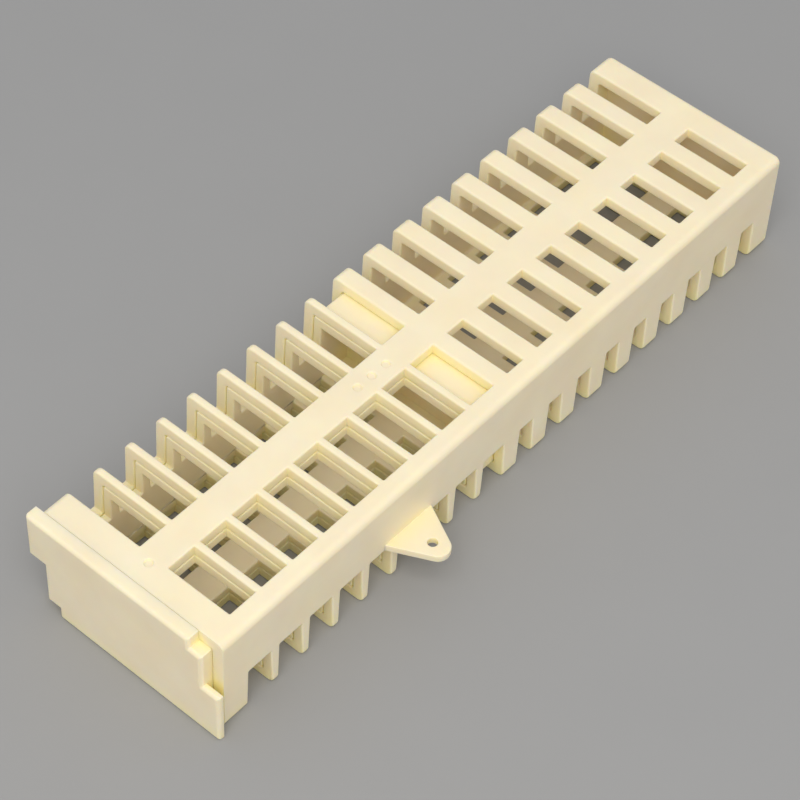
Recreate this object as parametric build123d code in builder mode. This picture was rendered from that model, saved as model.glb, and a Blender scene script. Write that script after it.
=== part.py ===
from build123d import *
import os

# Queen cage: a slotted sleeve moulded in one piece, and a drawer that slides in at its open end.
# Frame: X across the cage, Y along it with the drawer's plate at -Y, Z up from the face it rests on.
# Every size is in millimetres. Half a turn about the cage's long axis brings the slots of both pieces
# back onto themselves.

# ---- sleeve: overall sizes ----
length = 121.0          # mouth face to far end face
width = 33.0
height = 18.0
side_wall = 1.85
skin = 1.9              # thickness of the slotted top and bottom
far_wall = 1.9          # closes the far end
edge_round = 1.1        # long outer edges
end_round = 0.7         # outline of the far end face
cavity_round = 0.5      # corners of the cavity, in section

# ---- sleeve: slots ----
near_land = 4.55        # plain stretch between the mouth and the first slot
wide_count = 9
wide_pitch = 6.0
wide_slot = 4.85        # across the mouth of a wide slot
mid_bar = 3.06          # bar between the last wide and the first narrow slot
narrow_count = 9
narrow_pitch = 6.55
narrow_slot = 3.4       # across the mouth of a narrow slot
slot_draft = 2.0        # degrees, so that a slot narrows inwards
open_slot_inner = 2.8   # from the centre plane to the inner end of an open slot
open_slot_depth = 7.7   # how far an open slot cuts down the side wall
closed_slot_inner = 2.45  # from the centre plane to the inner end of a closed slot
closed_slot_outer = 13.4  # from the centre plane to its outer end
overrun = 2.0           # how far a cutter stands past the face that it opens

# ---- sleeve: dimples on the spine ----
dimple_diameter = 1.4
dimple_depth = 0.3
dimple_taper = 20.0     # degrees
first_dimple = 3.35     # from the mouth face
rear_dimples = 3
rear_dimple_start = 44.3
rear_dimple_pitch = 2.95

# ---- sleeve: hanging tab ----
tab_centre = 36.5       # from the mouth face
tab_root = 9.6          # along the side wall
tab_reach = 7.2         # from the side wall to the tip
tab_tip_radius = 1.9
tab_thickness = 1.2
tab_top = 9.0           # height of its upper face
tab_hole_diameter = 1.5
tab_hole_reach = 4.4    # from the side wall to the hole's axis

# ---- drawer ----
slide_gap = 0.1         # clearance all round, between drawer and cavity
seat_gap = 0.05         # between the plate and the mouth face
plate_thickness = 2.1
plate_front_round = 0.6
ear_overhang = 1.05     # how far an ear stands past the side of the sleeve
upper_ear_height = 8.3  # along the edge of the plate
lower_ear_height = 9.5
ear_relief = 1.05       # depth of the nail recess behind the lower ear
plate_step = 4.2        # from the side of the sleeve to the end of the plate's full height
drawer_side_wall = 1.5
drawer_skin = 1.7       # thickness of the drawer's top and bottom
drawer_length = 58.8    # from the mouth face to the back of the drawer
drawer_back_wall = 1.75
drawer_slot_count = 8   # slots that go on through the drawer

# ---- worked out from the sizes above ----
mouth_y = -length / 2
cavity_width = width - 2 * side_wall
cavity_height = height - 2 * skin
cavity_length = length - far_wall
tab_y = mouth_y + tab_centre


def slot_centres():
    """(distance from the mouth, width at the mouth) of each slot, in order."""
    slots = []
    for i in range(wide_count):
        slots.append((near_land + i * wide_pitch + wide_slot / 2, wide_slot))
    first_narrow = near_land + (wide_count - 1) * wide_pitch + wide_slot + mid_bar
    for i in range(narrow_count):
        slots.append((first_narrow + i * narrow_pitch + narrow_slot / 2, narrow_slot))
    return slots


top_plane = Plane((0, 0, height), x_dir=(1, 0, 0), z_dir=(0, 0, -1))
bottom_plane = Plane((0, 0, 0), x_dir=(-1, 0, 0), z_dir=(0, 0, 1))


def cut_slots(slots, closed_outer, closed_depth):
    """Cuts slots through the top and the bottom of the part being built, from the sleeve's faces inwards.

    On one half of each face they are open, running on down the side wall; on the other half they are
    closed, from closed_slot_inner to closed_outer, and go closed_depth deep.
    """
    open_outer = width / 2 + overrun
    for face_plane in (top_plane, bottom_plane):
        with BuildSketch(face_plane) as open_slots:
            for distance, slot_width in slots:
                middle = -(open_slot_inner + open_outer) / 2
                with Locations((middle, -(mouth_y + distance))):
                    Rectangle(open_outer - open_slot_inner, slot_width)
        extrude(open_slots.sketch, amount=open_slot_depth, taper=slot_draft, mode=Mode.SUBTRACT)
        with BuildSketch(face_plane) as closed_slots:
            for distance, slot_width in slots:
                middle = (closed_slot_inner + closed_outer) / 2
                with Locations((middle, -(mouth_y + distance))):
                    Rectangle(closed_outer - closed_slot_inner, slot_width)
        extrude(closed_slots.sketch, amount=closed_depth, taper=slot_draft, mode=Mode.SUBTRACT)


# ---- the sleeve ----
with BuildPart() as sleeve:
    with BuildSketch(Plane.XZ.offset(-mouth_y)) as outside:
        with Locations((0, height / 2)):
            RectangleRounded(width, height, edge_round)
    extrude(amount=-length)
    fillet(sleeve.faces().sort_by(Axis.Y)[-1].edges(), end_round)

    with BuildSketch(Plane.XZ.offset(-mouth_y)) as cavity:
        with Locations((0, height / 2)):
            RectangleRounded(cavity_width, cavity_height, cavity_round)
    extrude(amount=-cavity_length, mode=Mode.SUBTRACT)

    cut_slots(slot_centres(), closed_slot_outer, skin + slide_gap)

    # Dimples along the spine.
    dimples = [first_dimple]
    dimples += [rear_dimple_start + i * rear_dimple_pitch for i in range(rear_dimples)]
    with BuildSketch(Plane.XY.offset(height)) as dimple_marks:
        with Locations([(0, mouth_y + distance) for distance in dimples]):
            Circle(dimple_diameter / 2)
    extrude(amount=-dimple_depth, taper=dimple_taper, mode=Mode.SUBTRACT)

    # Hanging tab on the closed band of the +X side wall: a triangle with a round tip and a hole.
    with BuildSketch(Plane.XY.offset(tab_top - tab_thickness)) as tab_outline:
        with Locations((width / 2 + tab_reach - tab_tip_radius, tab_y)):
            Circle(tab_tip_radius)
        with Locations((width / 2 - side_wall / 4, tab_y)):
            Rectangle(side_wall / 2, tab_root)
        make_hull()
        with Locations((width / 2 + tab_hole_reach, tab_y)):
            Circle(tab_hole_diameter / 2, mode=Mode.SUBTRACT)
    extrude(amount=tab_thickness)

sleeve.part.label = "sleeve"

# ---- the drawer ----
slide_half_width = cavity_width / 2 - slide_gap
slide_bottom = skin + slide_gap
slide_height = height - 2 * slide_bottom
slide_round = cavity_round - slide_gap
plate_back = mouth_y - seat_gap
drawer_end = mouth_y + drawer_length
inner_half_width = slide_half_width - drawer_side_wall

with BuildPart() as drawer:
    # Box that slides in the cavity, closed at the back, with slots that line up with the sleeve's.
    with BuildSketch(Plane.XZ.offset(-plate_back)) as slide_section:
        with Locations((0, height / 2)):
            RectangleRounded(2 * slide_half_width, slide_height, slide_round)
    extrude(amount=-(drawer_end - plate_back))
    with BuildSketch(Plane.XZ.offset(-plate_back)) as inside:
        with Locations((0, height / 2)):
            Rectangle(2 * inner_half_width, slide_height - 2 * drawer_skin)
    extrude(amount=-(drawer_end - drawer_back_wall - plate_back), mode=Mode.SUBTRACT)
    cut_slots(slot_centres()[:drawer_slot_count], inner_half_width, slide_bottom + drawer_skin + slide_gap)

    # Plate: full height between the two steps, the box's height beyond them, and an ear at two corners.
    full_half_width = width / 2 - plate_step
    ear_end = width / 2 + ear_overhang
    outline = [
        (-ear_end, height),
        (-ear_end, height - upper_ear_height),
        (-slide_half_width, height - upper_ear_height),
        (-slide_half_width, slide_bottom),
        (-full_half_width, slide_bottom),
        (-full_half_width, 0),
        (ear_end, 0),
        (ear_end, lower_ear_height),
        (slide_half_width, lower_ear_height),
        (slide_half_width, height - slide_bottom),
        (full_half_width, height - slide_bottom),
        (full_half_width, height),
    ]
    with BuildSketch(Plane.XZ.offset(-plate_back)) as plate_outline:
        with BuildLine():
            Polyline(*outline, close=True)
        make_face()
    extrude(amount=plate_thickness)
    fillet(drawer.faces().sort_by(Axis.Y)[0].edges(), plate_front_round)

    # Nail recess behind the lower ear, to pull the drawer by.
    with BuildSketch(Plane.XZ.offset(-plate_back)) as recess:
        with Locations((slide_half_width, 0)):
            Rectangle(width, lower_ear_height, align=(Align.MIN, Align.MIN))
    extrude(amount=ear_relief, mode=Mode.SUBTRACT)

drawer.part.label = "drawer"

os.makedirs("parts", exist_ok=True)
export_step(sleeve.part, "parts/sleeve.step")
export_step(drawer.part, "parts/drawer.step")
print("sleeve", len(sleeve.solids()), round(sleeve.part.volume, 1))
print("drawer", len(drawer.solids()), round(drawer.part.volume, 1))
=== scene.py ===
"""Looks of a plastic queen cage: softened mouldings, cream plastic, floor, light and camera."""

import math

import bmesh
import bpy
import numpy as np
from bpy.props import FloatProperty, FloatVectorProperty, IntProperty, PointerProperty
from mathutils import Matrix, Vector


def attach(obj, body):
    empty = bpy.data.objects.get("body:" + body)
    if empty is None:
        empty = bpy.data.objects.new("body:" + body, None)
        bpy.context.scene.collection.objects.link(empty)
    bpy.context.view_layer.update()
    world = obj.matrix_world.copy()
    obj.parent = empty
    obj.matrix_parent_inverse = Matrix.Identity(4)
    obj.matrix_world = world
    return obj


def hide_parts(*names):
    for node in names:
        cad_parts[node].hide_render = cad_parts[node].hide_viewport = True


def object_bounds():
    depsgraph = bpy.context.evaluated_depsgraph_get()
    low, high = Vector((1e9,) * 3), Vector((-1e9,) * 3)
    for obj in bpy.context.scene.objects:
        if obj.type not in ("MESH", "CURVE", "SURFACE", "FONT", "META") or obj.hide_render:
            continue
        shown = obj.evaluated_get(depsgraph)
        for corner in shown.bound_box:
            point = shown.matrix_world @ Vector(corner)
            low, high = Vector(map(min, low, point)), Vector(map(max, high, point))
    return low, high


bl_info = {
    "name": "Queen Cage",
    "version": (1, 0, 0),
    "blender": (4, 5, 0),
    "location": "View3D > Sidebar > Queen Cage",
    "description": "Builds a slotted plastic queen cage with a pull-out drawer",
    "category": "Object",
}

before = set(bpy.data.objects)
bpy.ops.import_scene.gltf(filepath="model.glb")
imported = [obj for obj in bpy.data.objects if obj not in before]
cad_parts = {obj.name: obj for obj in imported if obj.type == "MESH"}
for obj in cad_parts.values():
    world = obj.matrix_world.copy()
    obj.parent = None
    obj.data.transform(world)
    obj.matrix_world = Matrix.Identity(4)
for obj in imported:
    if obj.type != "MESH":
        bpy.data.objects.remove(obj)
cad_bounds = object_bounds()

MM = 0.001

# Places on the cage, in the frame that the mouldings share.
MOUTH_Y = -60.5 * MM
TAB_WALL_X = 16.55 * MM
TAB_HOLE_X = 20.9 * MM
TAB_HOLE_Y = -24.0 * MM

# Corners this near to the mouth's plane lie on the seam between plate and mouth.
MOUTH_REACH = 0.2 * MM

# The dimples on top lie this near to the cage's middle, and above this height.
DIMPLE_REACH = 0.9 * MM
DIMPLE_FLOOR = 17.6 * MM

# Corners nearer to each other than MERGE_DISTANCE are one corner, and a corner nearer to a
# cutting plane than CUT_DISTANCE lies in it. Both are in metres.
MERGE_DISTANCE = 2e-6
CUT_DISTANCE = 1e-6

# Faces that turn by less than FLAT_TURN are one flat face, and an edge where two faces turn by
# SHARP_TURN or more is rounded.
FLAT_TURN = math.radians(0.6)
SHARP_TURN = math.radians(33.0)

# Shares of the edge radius that each kind of edge gets.
OUTER_WEIGHT = 1.0
INNER_WEIGHT = 0.35
PLATE_WEIGHT = 0.6
SMALL_WEIGHT = 0.4

# How much large faces outweigh small ones in the shading of the corners they share. 50 is even.
SHADING_WEIGHT = 100

# Noises in the plastic, each with its waves per metre and its detail. The scratches are drawn
# out along the cage by a scale under 1 on Y.
MOTTLE = (130.0, 3.0)
SINK_MARKS = (110.0, 1.0)
GRAIN = (5200.0, 2.0)
SCRATCHES = (900.0, 4.0)
SCRATCH_STRETCH = (1.0, 0.06, 1.0)

# The part of a noise's values that is used, and what its ends give for brightness and saturation.
NOISE_SPAN = (0.3, 0.7)
BRIGHTNESS_SPAN = (0.97, 1.03)
SATURATION_SPAN = (1.06, 0.94)

# How much smoother and rougher than the mean the plastic gets.
SMOOTHER = 0.07
ROUGHER = 0.09

# Bumps in the plastic, each with its strength and its height.
SINK_BUMP = (0.5, 0.12 * MM)
GRAIN_BUMP = (0.25, 0.01 * MM)
SCRATCH_BUMP = (0.3, 0.01 * MM)

# How far round a place its openness is measured, with how many rays, and the part of its values
# over which ochre gives way to cream. The ochre is painted light: a glow painted into deep slots
# and corners, standing in for light that has come through the plastic and bounced there.
OPENNESS_REACH = 6.0 * MM
OPENNESS_SAMPLES = 12
OPENNESS_SPAN = (0.12, 0.78)

# Moulded plastic: refraction, strength of its gloss, and its scattering of light, with red going
# furthest and blue least far.
PLASTIC_IOR = 1.49
PLASTIC_GLOSS = 0.42
SCATTER_WEIGHT = 0.45
SCATTER_RADII = (1.0, 0.75, 0.35)

# How far each piece's noises are moved along X, in metres, so that the two don't match.
SLEEVE_SHIFT = 0.0
DRAWER_SHIFT = 0.31

# Floor: how far it lies below the cage and reaches each way, its noise's waves per metre, what
# the noise's ends multiply its colour by, and its roughness.
FLOOR_GAP = 0.1 * MM
FLOOR_REACH = 1.5
FLOOR_NOISE = 60.0
FLOOR_DARKER = 0.985
FLOOR_LIGHTER = 1.015
FLOOR_ROUGHNESS = 0.8

# Lights: each lamp's size and place in metres, and its colour. All lamps face the origin.
SKY_COLOUR = (1.0, 1.0, 1.0, 1.0)
KEY_SIZE = 0.55
KEY_PLACE = (0.27, -0.36, 0.66)
KEY_COLOUR = (1.0, 0.97, 0.92)
FILL_SIZE = 0.45
FILL_PLACE = (0.45, -0.45, 0.25)
FILL_COLOUR = (1.0, 0.8, 0.5)

# Camera: its right, up and backward axes, its place and nearest distance in metres, and its lens
# and sensor in millimetres.
CAMERA_RIGHT = (0.7522672, 0.65796835, 0.03423034)
CAMERA_UP = (-0.51952627, 0.5604287, 0.64499002)
CAMERA_BACKWARD = (0.40519935, -0.5029884, 0.76342397)
CAMERA_PLACE = (0.161838, -0.207643, 0.312018)
CAMERA_NEAREST = 0.01
CAMERA_LENS = 126.19
CAMERA_SENSOR = 36.0


def slot_row(start, end, pitch, count):
    """Where each slot of a row starts and ends: the first one's ends, moved on by whole pitches."""
    return [(start + pitch * i, end + pitch * i) for i in range(count)]


# In millimetres from the mouth.
WIDE_SLOTS = slot_row(start=4.55, end=9.40, pitch=6.0, count=9)
NARROW_SLOTS = slot_row(start=60.46, end=63.86, pitch=6.55, count=9)


class CageSizes(bpy.types.PropertyGroup):
    """Sizes of the mouldings' soft edges."""

    sleeve_edge: FloatProperty(
        name="Sleeve Edge Radius",
        description="Radius that softens every sharp edge of the sleeve",
        default=0.28 * MM,
        min=0.0,
        max=0.5 * MM,
        precision=5,
        subtype="DISTANCE",
    )
    drawer_edge: FloatProperty(
        name="Drawer Edge Radius",
        description="Radius that softens every sharp edge of the drawer",
        default=0.25 * MM,
        min=0.0,
        max=0.5 * MM,
        precision=5,
        subtype="DISTANCE",
    )
    edge_segments: IntProperty(
        name="Edge Segments",
        description="Strips across each softened edge",
        default=3,
        min=1,
        max=4,
    )


class CageColours(bpy.types.PropertyGroup):
    """Colours and finish of the plastic, with its painted glow, and of the floor."""

    cream: FloatVectorProperty(
        name="Cream",
        description="Plastic where light reaches it freely",
        default=(0.93, 0.82, 0.60),
        size=3,
        subtype="COLOR",
    )
    # Painted light: an ochre glow painted into deep slots and corners, standing in for light that
    # has come through the plastic and bounced there.
    painted_glow: FloatVectorProperty(
        name="Ochre",
        description="Plastic deep in slots and corners, where light has come through it",
        default=(0.99, 0.87, 0.42),
        size=3,
        subtype="COLOR",
    )
    roughness: FloatProperty(
        name="Roughness",
        description="Mean roughness of the moulded surface",
        default=0.42,
        min=0.0,
        max=1.0,
        subtype="FACTOR",
    )
    scatter_depth: FloatProperty(
        name="Scatter Depth",
        description="How far light travels inside the plastic",
        default=1.4 * MM,
        precision=5,
        subtype="DISTANCE",
    )
    floor: FloatVectorProperty(
        name="Floor",
        description="Colour of the floor",
        default=(0.325, 0.328, 0.335),
        size=3,
        subtype="COLOR",
    )


class CageLight(bpy.types.PropertyGroup):
    """Studio light."""

    sky: FloatProperty(
        name="Sky",
        description="Strength of the even light from all round",
        default=0.60,
        min=0.0,
    )
    key: FloatProperty(
        name="Key",
        description="Power of the large soft light above and in front",
        default=3.6,
        min=0.0,
        subtype="POWER",
        unit="POWER",
    )
    fill: FloatProperty(
        name="Fill",
        description="Power of the warm soft light in front and to the right",
        default=0.3,
        min=0.0,
        subtype="POWER",
        unit="POWER",
    )


def new_material(name):
    """A new node material, its node tree and its shader."""
    material = bpy.data.materials.new(name)
    material.use_nodes = True
    tree = material.node_tree
    return material, tree, tree.nodes["Principled BSDF"]


def plastic(name, colours, shift):
    """Cream moulded plastic, slightly translucent.

    Colour goes from ochre to cream with how open a place is to the light. The ochre is a painted
    glow in deep slots and corners, standing in for light that has come through the plastic and
    bounced there. One slow noise varies its brightness, and another, the sink marks, its
    saturation. Bump adds three scales: the sink marks about 9 mm apart, the mould's fine grain,
    and faint scratches drawn out along the piece.
    """
    material, tree, shader = new_material(name)
    nodes, links = tree.nodes, tree.links

    place = nodes.new("ShaderNodeTexCoord")
    moved = nodes.new("ShaderNodeMapping")
    moved.inputs["Location"].default_value = (shift, 0.0, 0.0)
    links.new(place.outputs["Object"], moved.inputs["Vector"])

    def noise(scale, detail, stretch=None):
        """Noise at the moved place, which is first multiplied by stretch if there is one."""
        texture = nodes.new("ShaderNodeTexNoise")
        texture.inputs["Scale"].default_value = scale
        texture.inputs["Detail"].default_value = detail
        source = moved
        if stretch is not None:
            source = nodes.new("ShaderNodeMapping")
            source.inputs["Scale"].default_value = stretch
            links.new(moved.outputs["Vector"], source.inputs["Vector"])
        links.new(source.outputs["Vector"], texture.inputs["Vector"])
        return texture.outputs["Fac"]

    def ranged(value, span, result_span):
        """The value carried in a straight line from one span onto another, and held at its ends."""
        node = nodes.new("ShaderNodeMapRange")
        node.inputs["From Min"].default_value, node.inputs["From Max"].default_value = span
        node.inputs["To Min"].default_value, node.inputs["To Max"].default_value = result_span
        links.new(value, node.inputs["Value"])
        return node.outputs["Result"]

    def bump(height, strength, distance, under=None):
        """Normals tilted by the slope of height, over those of the bump under it."""
        node = nodes.new("ShaderNodeBump")
        node.inputs["Strength"].default_value = strength
        node.inputs["Distance"].default_value = distance
        links.new(height, node.inputs["Height"])
        if under is not None:
            links.new(under, node.inputs["Normal"])
        return node.outputs["Normal"]

    mottle = noise(*MOTTLE)
    sink = noise(*SINK_MARKS)
    grain = noise(*GRAIN)
    scratches = noise(*SCRATCHES, SCRATCH_STRETCH)

    # How open each place is, from 0 in a deep corner to 1 on a face.
    openness = nodes.new("ShaderNodeAmbientOcclusion")
    openness.samples = OPENNESS_SAMPLES
    openness.inputs["Distance"].default_value = OPENNESS_REACH
    painted_glow_to_cream = ranged(openness.outputs["AO"], OPENNESS_SPAN, (0.0, 1.0))

    # Painted light: the less open a place, the more ochre it is painted, as a glow standing in for
    # light come through the plastic into deep slots and corners.
    painted_glow_blend = nodes.new("ShaderNodeMix")
    painted_glow_blend.data_type = "RGBA"
    painted_glow_blend.inputs["A"].default_value = (*colours.painted_glow, 1.0)
    painted_glow_blend.inputs["B"].default_value = (*colours.cream, 1.0)
    links.new(painted_glow_to_cream, painted_glow_blend.inputs["Factor"])

    varied = nodes.new("ShaderNodeHueSaturation")
    links.new(painted_glow_blend.outputs["Result"], varied.inputs["Color"])
    links.new(ranged(mottle, NOISE_SPAN, BRIGHTNESS_SPAN), varied.inputs["Value"])
    links.new(ranged(sink, NOISE_SPAN, SATURATION_SPAN), varied.inputs["Saturation"])
    links.new(varied.outputs["Color"], shader.inputs["Base Color"])

    roughness_span = (colours.roughness - SMOOTHER, colours.roughness + ROUGHER)
    links.new(ranged(scratches, NOISE_SPAN, roughness_span), shader.inputs["Roughness"])

    wavy = bump(sink, *SINK_BUMP)
    grained = bump(grain, *GRAIN_BUMP, wavy)
    scratched = bump(scratches, *SCRATCH_BUMP, grained)
    links.new(scratched, shader.inputs["Normal"])

    shader.inputs["IOR"].default_value = PLASTIC_IOR
    shader.inputs["Specular IOR Level"].default_value = PLASTIC_GLOSS
    shader.inputs["Subsurface Weight"].default_value = SCATTER_WEIGHT
    shader.inputs["Subsurface Radius"].default_value = SCATTER_RADII
    shader.inputs["Subsurface Scale"].default_value = colours.scatter_depth
    return material


def slot_cuts():
    """Planes across the cage, each with a point, a normal and the furthest X that it cuts to.

    One runs through the middle of every slot and every bar, as far as the side wall. The others go
    right across: one along the cage's middle, and two through the hole in the tab.
    """
    ends = np.array(WIDE_SLOTS + NARROW_SLOTS) * MM + MOUTH_Y
    bars = (ends[1:, 0] + ends[:-1, 1]) / 2
    places = np.sort(np.concatenate([ends.mean(axis=1), bars]))
    along = (0.0, 1.0, 0.0)
    across = (1.0, 0.0, 0.0)
    cuts = [
        ((0.0, 0.0, 0.0), across, math.inf),
        ((TAB_HOLE_X, 0.0, 0.0), across, math.inf),
        ((0.0, TAB_HOLE_Y, 0.0), along, math.inf),
    ]
    return cuts + [((0.0, float(place), 0.0), along, TAB_WALL_X) for place in places]


def cut_skin(skin, cuts):
    """Cut a skin by each plane in turn, and mark the new edges as seams.

    A plane cuts only faces that lie wholly within its furthest X. They and their edges and corners
    are given in the skin's own order, so that the mesh comes out the same every time.
    """
    for point, normal, furthest_x in cuts:
        faces = [f for f in skin.faces if max(v.co.x for v in f.verts) <= furthest_x]
        edges = dict.fromkeys(edge for face in faces for edge in face.edges)
        verts = dict.fromkeys(vert for face in faces for vert in face.verts)
        cut = bmesh.ops.bisect_plane(
            skin,
            geom=[*verts, *edges, *faces],
            dist=CUT_DISTANCE,
            plane_co=point,
            plane_no=normal,
        )
        for part in cut["geom_cut"]:
            if isinstance(part, bmesh.types.BMEdge):
                part.seam = True


def weigh_edges(skin):
    """Give each edge where two faces turn by SHARP_TURN or more its share of the edge radius.

    That is OUTER_WEIGHT on an outward edge, INNER_WEIGHT in an inward corner, PLATE_WEIGHT on the
    plate, and SMALL_WEIGHT on the tab and round the dimples. Edges where plate and mouth meet are
    left sharp instead, so that the seam between them is as narrow as its gap.
    """
    weights = skin.edges.layers.float.new("bevel_weight_edge")
    for edge in skin.edges:
        turn = edge.calc_face_angle_signed(0.0)
        if abs(turn) < SHARP_TURN:
            continue
        nearest, furthest = sorted(corner.co.y for corner in edge.verts)
        middle = (edge.verts[0].co + edge.verts[1].co) / 2
        on_tab = middle.x > TAB_WALL_X
        on_dimple = abs(middle.x) < DIMPLE_REACH and middle.z > DIMPLE_FLOOR
        if abs(nearest - MOUTH_Y) < MOUTH_REACH and abs(furthest - MOUTH_Y) < MOUTH_REACH:
            edge.smooth = False
        elif on_tab or on_dimple:
            edge[weights] = SMALL_WEIGHT
        elif furthest < MOUTH_Y:
            edge[weights] = PLATE_WEIGHT
        else:
            edge[weights] = OUTER_WEIGHT if turn > 0.0 else INNER_WEIGHT


def softened_copy(node, name, radius, segments):
    """A copy of a CAD node's mesh with its flat faces made whole and its sharp edges rounded.

    The triangles are merged into one skin and cut through the middle of every slot and bar, so
    that no flat face has a hole in it. Triangles that lie in one plane between two cuts are then
    joined. A live Bevel carries an arc of the radius times each edge's weight along it, and a
    live Weighted Normal keeps the shading of the flat faces flat.
    """
    skin = bmesh.new()
    skin.from_mesh(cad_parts[node].data)
    bmesh.ops.remove_doubles(skin, verts=skin.verts, dist=MERGE_DISTANCE)
    cut_skin(skin, slot_cuts())
    bmesh.ops.dissolve_limit(
        skin,
        angle_limit=FLAT_TURN,
        verts=skin.verts,
        edges=skin.edges,
        delimit={"SEAM"},
    )
    weigh_edges(skin)
    mesh = bpy.data.meshes.new(name)
    skin.to_mesh(mesh)
    skin.free()
    mesh.polygons.foreach_set("use_smooth", np.ones(len(mesh.polygons), bool))
    piece = bpy.data.objects.new(name, mesh)
    bpy.context.scene.collection.objects.link(piece)

    rounding = piece.modifiers.new("rounding", "BEVEL")
    rounding.width = radius
    rounding.segments = segments
    rounding.limit_method = "WEIGHT"
    rounding.use_clamp_overlap = False
    rounding.miter_outer = "MITER_ARC"
    shading = piece.modifiers.new("flat faces", "WEIGHTED_NORMAL")
    shading.mode = "FACE_AREA"
    shading.weight = SHADING_WEIGHT
    shading.keep_sharp = True
    return piece


class PieceOperator:
    """What the operators of the cage have in common."""

    bl_options = {"REGISTER", "UNDO"}

    @staticmethod
    def finish_piece(piece, material, body, slot):
        """Give a piece its one material and the body that it moves with; slot is not used."""
        piece.data.materials.clear()
        piece.data.materials.append(material)
        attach(piece, body)


class QUEENCAGE_OT_sleeve(PieceOperator, bpy.types.Operator):
    """Make the slotted sleeve with its hanging tab"""

    bl_idname = "queencage.sleeve"
    bl_label = "Sleeve"

    def execute(self, context):
        sizes = context.scene.cage_sizes
        piece = softened_copy("sleeve", "sleeve_moulding", sizes.sleeve_edge, sizes.edge_segments)
        material = plastic("sleeve plastic", context.scene.cage_colours, SLEEVE_SHIFT)
        self.finish_piece(piece, material, "sleeve", "sleeve_plastic")
        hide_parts("sleeve")
        return {"FINISHED"}


class QUEENCAGE_OT_drawer(PieceOperator, bpy.types.Operator):
    """Make the drawer: end plate with two ears, and the slotted box behind it"""

    bl_idname = "queencage.drawer"
    bl_label = "Drawer"

    def execute(self, context):
        sizes = context.scene.cage_sizes
        piece = softened_copy("drawer", "drawer_moulding", sizes.drawer_edge, sizes.edge_segments)
        material = plastic("drawer plastic", context.scene.cage_colours, DRAWER_SHIFT)
        self.finish_piece(piece, material, "drawer", "drawer_plastic")
        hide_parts("drawer")
        return {"FINISHED"}


def floor_material(colour):
    """Matt floor whose colour a soft noise varies by a small share each way."""
    material, tree, shader = new_material("floor")
    texture = tree.nodes.new("ShaderNodeTexNoise")
    texture.inputs["Scale"].default_value = FLOOR_NOISE
    place = tree.nodes.new("ShaderNodeTexCoord")
    tree.links.new(place.outputs["Object"], texture.inputs["Vector"])
    tint = tree.nodes.new("ShaderNodeMix")
    tint.data_type = "RGBA"
    tint.inputs["A"].default_value = (*(channel * FLOOR_DARKER for channel in colour), 1.0)
    tint.inputs["B"].default_value = (*(channel * FLOOR_LIGHTER for channel in colour), 1.0)
    tree.links.new(texture.outputs["Fac"], tint.inputs["Factor"])
    tree.links.new(tint.outputs["Result"], shader.inputs["Base Color"])
    shader.inputs["Roughness"].default_value = FLOOR_ROUGHNESS
    return material


def soft_light(name, power, size, position, colour):
    """A square area lamp at a place, turned to face the origin."""
    data = bpy.data.lights.new(name, "AREA")
    data.energy = power
    data.size = size
    data.color = colour
    lamp = bpy.data.objects.new(name, data)
    turn = (-Vector(position)).to_track_quat("-Z", "Y").to_matrix().to_4x4()
    lamp.matrix_world = Matrix.Translation(position) @ turn
    bpy.context.scene.collection.objects.link(lamp)


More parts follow.
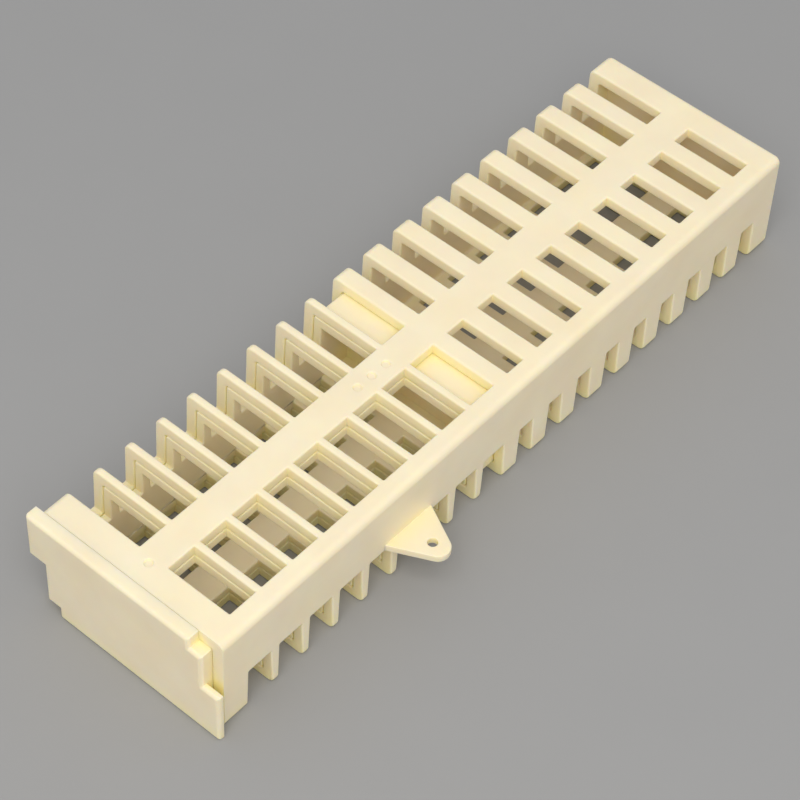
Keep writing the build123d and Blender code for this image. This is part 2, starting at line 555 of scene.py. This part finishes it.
class QUEENCAGE_OT_stage(bpy.types.Operator):
    """Make the floor, the studio light and the camera"""

    bl_idname = "queencage.stage"
    bl_label = "Stage"

    def execute(self, context):
        scene = context.scene
        light = scene.cage_light

        # Floor: a plain square just under the cage.
        low = cad_bounds[0][2] - FLOOR_GAP
        corners = [
            (-FLOOR_REACH, -FLOOR_REACH, low),
            (FLOOR_REACH, -FLOOR_REACH, low),
            (FLOOR_REACH, FLOOR_REACH, low),
            (-FLOOR_REACH, FLOOR_REACH, low),
        ]
        mesh = bpy.data.meshes.new("floor")
        mesh.from_pydata(corners, [], [(0, 1, 2, 3)])
        mesh.materials.append(floor_material(scene.cage_colours.floor))
        floor = bpy.data.objects.new("floor", mesh)
        scene.collection.objects.link(floor)

        # Light: an even sky and two soft lamps, shown without a film look.
        world = bpy.data.worlds.new("sky")
        world.use_nodes = True
        background = world.node_tree.nodes["Background"]
        background.inputs["Color"].default_value = SKY_COLOUR
        background.inputs["Strength"].default_value = light.sky
        scene.world = world
        scene.view_settings.view_transform = "Standard"
        soft_light("key", light.key, KEY_SIZE, KEY_PLACE, KEY_COLOUR)
        soft_light("fill", light.fill, FILL_SIZE, FILL_PLACE, FILL_COLOUR)

        # Camera: the columns of its turn are its three axes.
        data = bpy.data.cameras.new("camera")
        data.lens = CAMERA_LENS
        data.sensor_width = CAMERA_SENSOR
        data.clip_start = CAMERA_NEAREST
        camera = bpy.data.objects.new("camera", data)
        turn = Matrix((CAMERA_RIGHT, CAMERA_UP, CAMERA_BACKWARD)).transposed().to_4x4()
        camera.matrix_world = Matrix.Translation(CAMERA_PLACE) @ turn
        scene.collection.objects.link(camera)
        scene.camera = camera
        return {"FINISHED"}


class QUEENCAGE_PT_panel(bpy.types.Panel):
    """Sidebar panel of the cage"""

    bl_label = "Queen Cage"
    bl_idname = "QUEENCAGE_PT_panel"
    bl_space_type = "VIEW_3D"
    bl_region_type = "UI"
    bl_category = "Queen Cage"

    def draw(self, context):
        layout = self.layout
        scene = context.scene
        for settings in (scene.cage_sizes, scene.cage_colours, scene.cage_light):
            for name in settings.__annotations__:
                layout.prop(settings, name)
        for operator in OPERATORS:
            layout.operator(operator.bl_idname)


OPERATORS = (QUEENCAGE_OT_sleeve, QUEENCAGE_OT_drawer, QUEENCAGE_OT_stage)
CLASSES = (CageSizes, CageColours, CageLight, *OPERATORS, QUEENCAGE_PT_panel)


def register():
    for cls in CLASSES:
        bpy.utils.register_class(cls)
    bpy.types.Scene.cage_sizes = PointerProperty(type=CageSizes)
    bpy.types.Scene.cage_colours = PointerProperty(type=CageColours)
    bpy.types.Scene.cage_light = PointerProperty(type=CageLight)


def unregister():
    del bpy.types.Scene.cage_light
    del bpy.types.Scene.cage_colours
    del bpy.types.Scene.cage_sizes
    for cls in reversed(CLASSES):
        bpy.utils.unregister_class(cls)


def main():
    register()
    bpy.ops.queencage.sleeve()
    bpy.ops.queencage.drawer()
    bpy.ops.queencage.stage()


if __name__ == "__main__":
    main()
